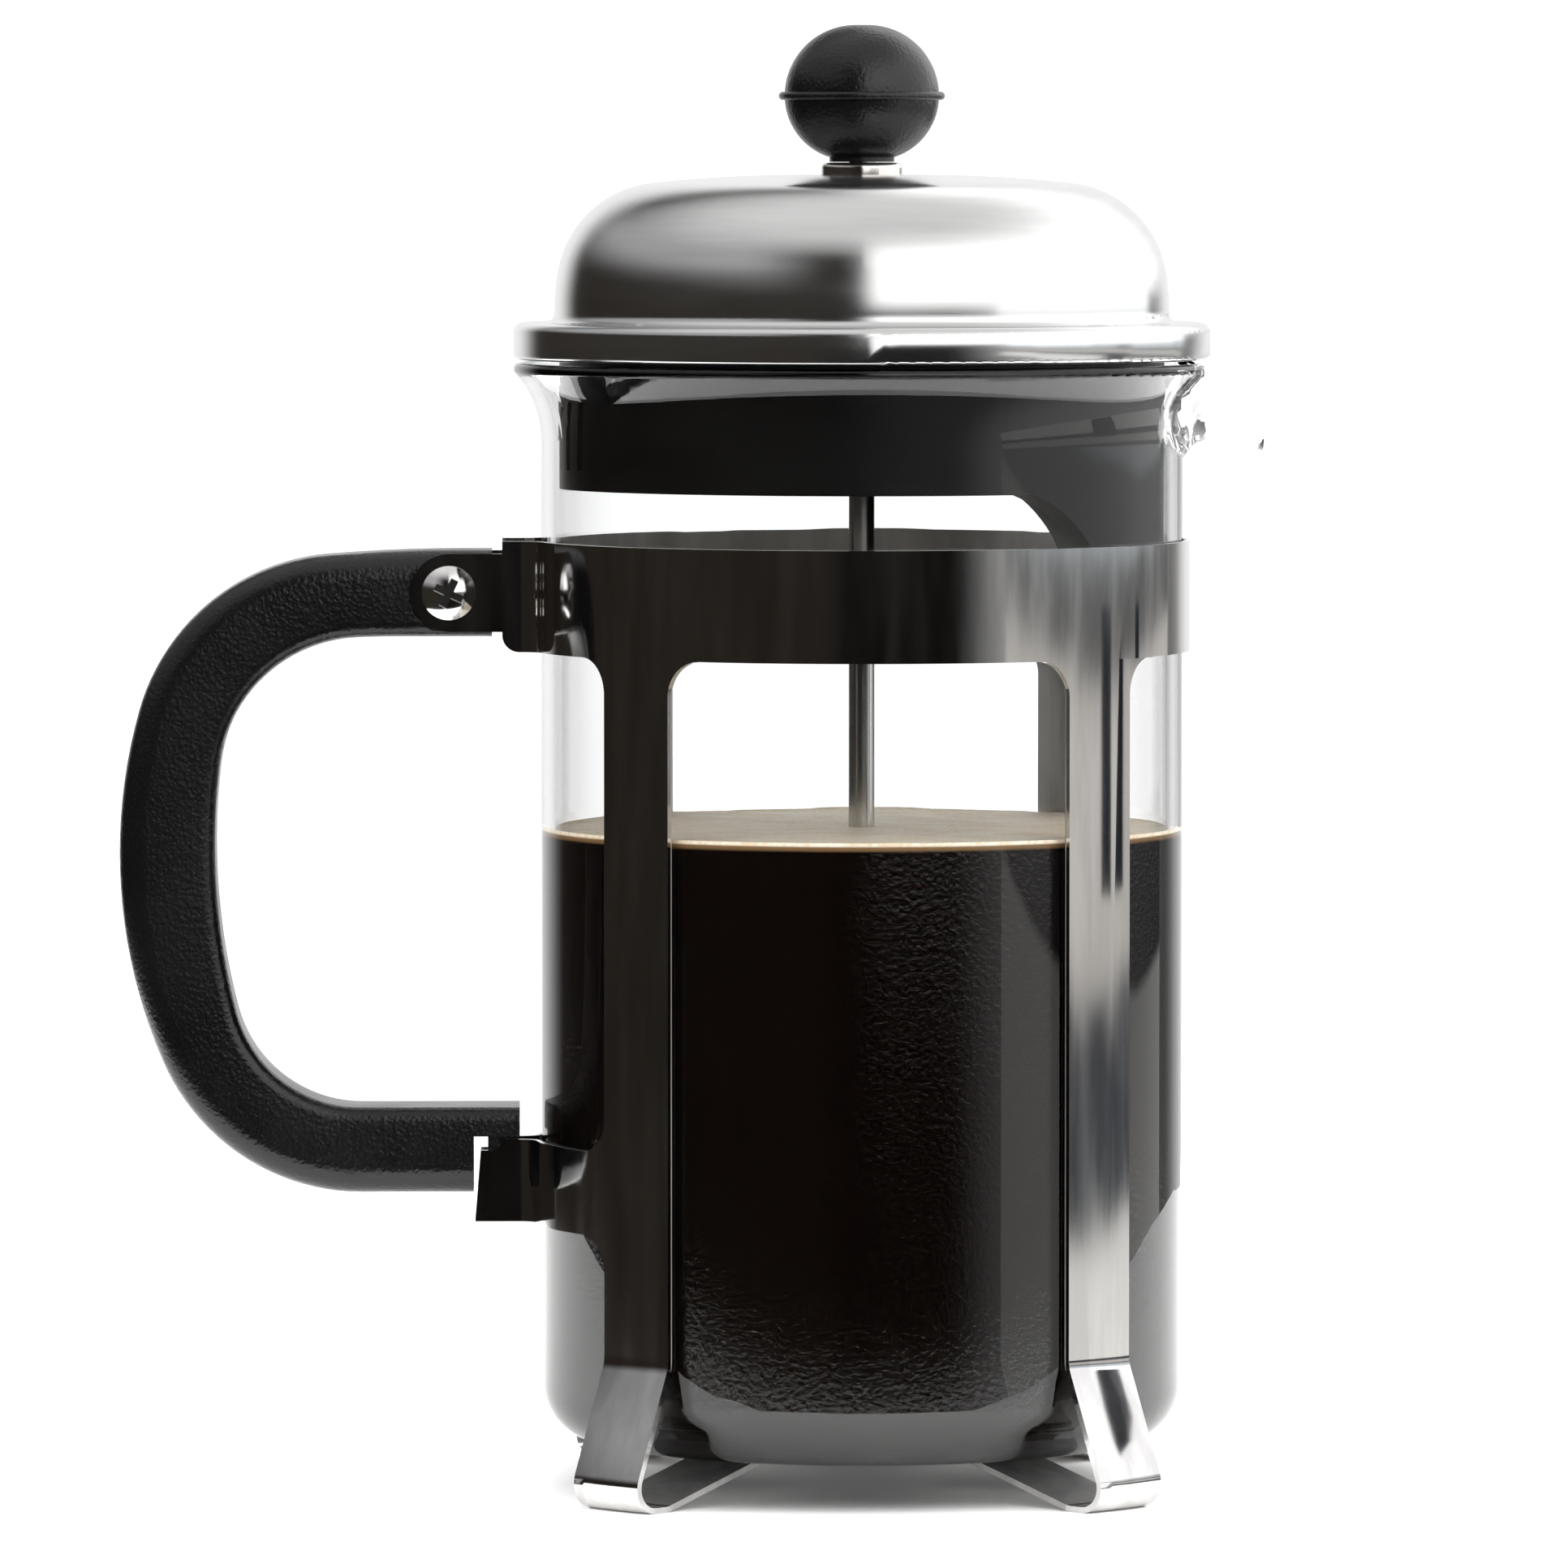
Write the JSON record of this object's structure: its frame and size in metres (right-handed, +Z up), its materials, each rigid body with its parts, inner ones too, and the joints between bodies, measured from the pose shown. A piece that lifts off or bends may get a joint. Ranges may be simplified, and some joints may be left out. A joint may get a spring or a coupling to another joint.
{
  "type": "french press",
  "caption": "Glass and steel french press: clear beaker with a beak spout in a four-legged steel frame, black D handle, domed steel lid, and a plunger with a ball knob and mesh filter.",
  "frame": {"origin": "the beaker's axis at table level, where the soles of the four feet stand", "axes": "+Z up along the beaker's axis, +X to the spout, -X to the handle, -Y to the side of the handle screw's head"},
  "size_m": [0.1761, 0.1074, 0.2253],
  "materials": {
    "frame_steel": "polished pressed sheet with fine brushing",
    "base_steel": "plain rolled sheet",
    "rivet_steel": "tumbled",
    "handle_black": "moulded, fine leather grain, satin sheen",
    "fastener_steel": "bright zinc",
    "beaker_glass": "clear borosilicate glass",
    "lid_steel": "spun, polished round the axis",
    "bush_steel": "turned",
    "liner_black": "moulded, smooth",
    "knob_black": "moulded, fine leather grain, satin sheen",
    "insert_brass": "turned",
    "rod_steel": "drawn and polished",
    "filter_steel": "pressed sheet",
    "spring_steel": "coiled wire",
    "mesh_steel": "fine woven wire"
  },
  "bodies": {
    "stand": {"frame_front": "frame_steel", "frame_rear": "frame_steel", "base_plate": "base_steel", "base_rivets": "rivet_steel", "handle": "handle_black", "handle_screw": "fastener_steel", "handle_nut": "fastener_steel"},
    "beaker": {"glass_beaker": "beaker_glass"},
    "lid": {"lid_shell": "lid_steel", "lid_bush": "bush_steel", "lid_nut": "fastener_steel"},
    "liner": {"lid_liner": "liner_black"},
    "rod": {"plunger_rod": "rod_steel"},
    "knob": {"knob": "knob_black", "knob_insert": "insert_brass"},
    "filter": {"spiral_plate": "filter_steel", "edge_spring": "spring_steel", "filter_mesh": "mesh_steel", "cross_plate": "filter_steel", "cross_hub": "filter_steel"}
  },
  "joints": [
    {"name": "beaker_lift", "type": "slide", "parent": "stand", "child": "beaker", "axis": [0, 0, 1], "range_m": [0, 0.16]},
    {"name": "lid_lift", "type": "slide", "parent": "beaker", "child": "lid", "axis": [0, 0, 1], "range_m": [0, 0.18]},
    {"name": "lid_turn", "type": "hinge", "parent": "lid", "child": "liner", "pos_m": [0, 0, 0.175], "axis": [0, 0, 1], "continuous": true},
    {"name": "plunger_slide", "type": "slide", "parent": "lid", "child": "rod", "axis": [0, 0, 1], "range_m": [0, 0.114]},
    {"name": "knob_turn", "type": "hinge", "parent": "rod", "child": "knob", "pos_m": [0, 0, 0.21], "axis": [0, 0, 1], "continuous": true},
    {"name": "filter_turn", "type": "hinge", "parent": "rod", "child": "filter", "pos_m": [0, 0, 0.018], "axis": [0, 0, 1], "continuous": true}
  ]
}
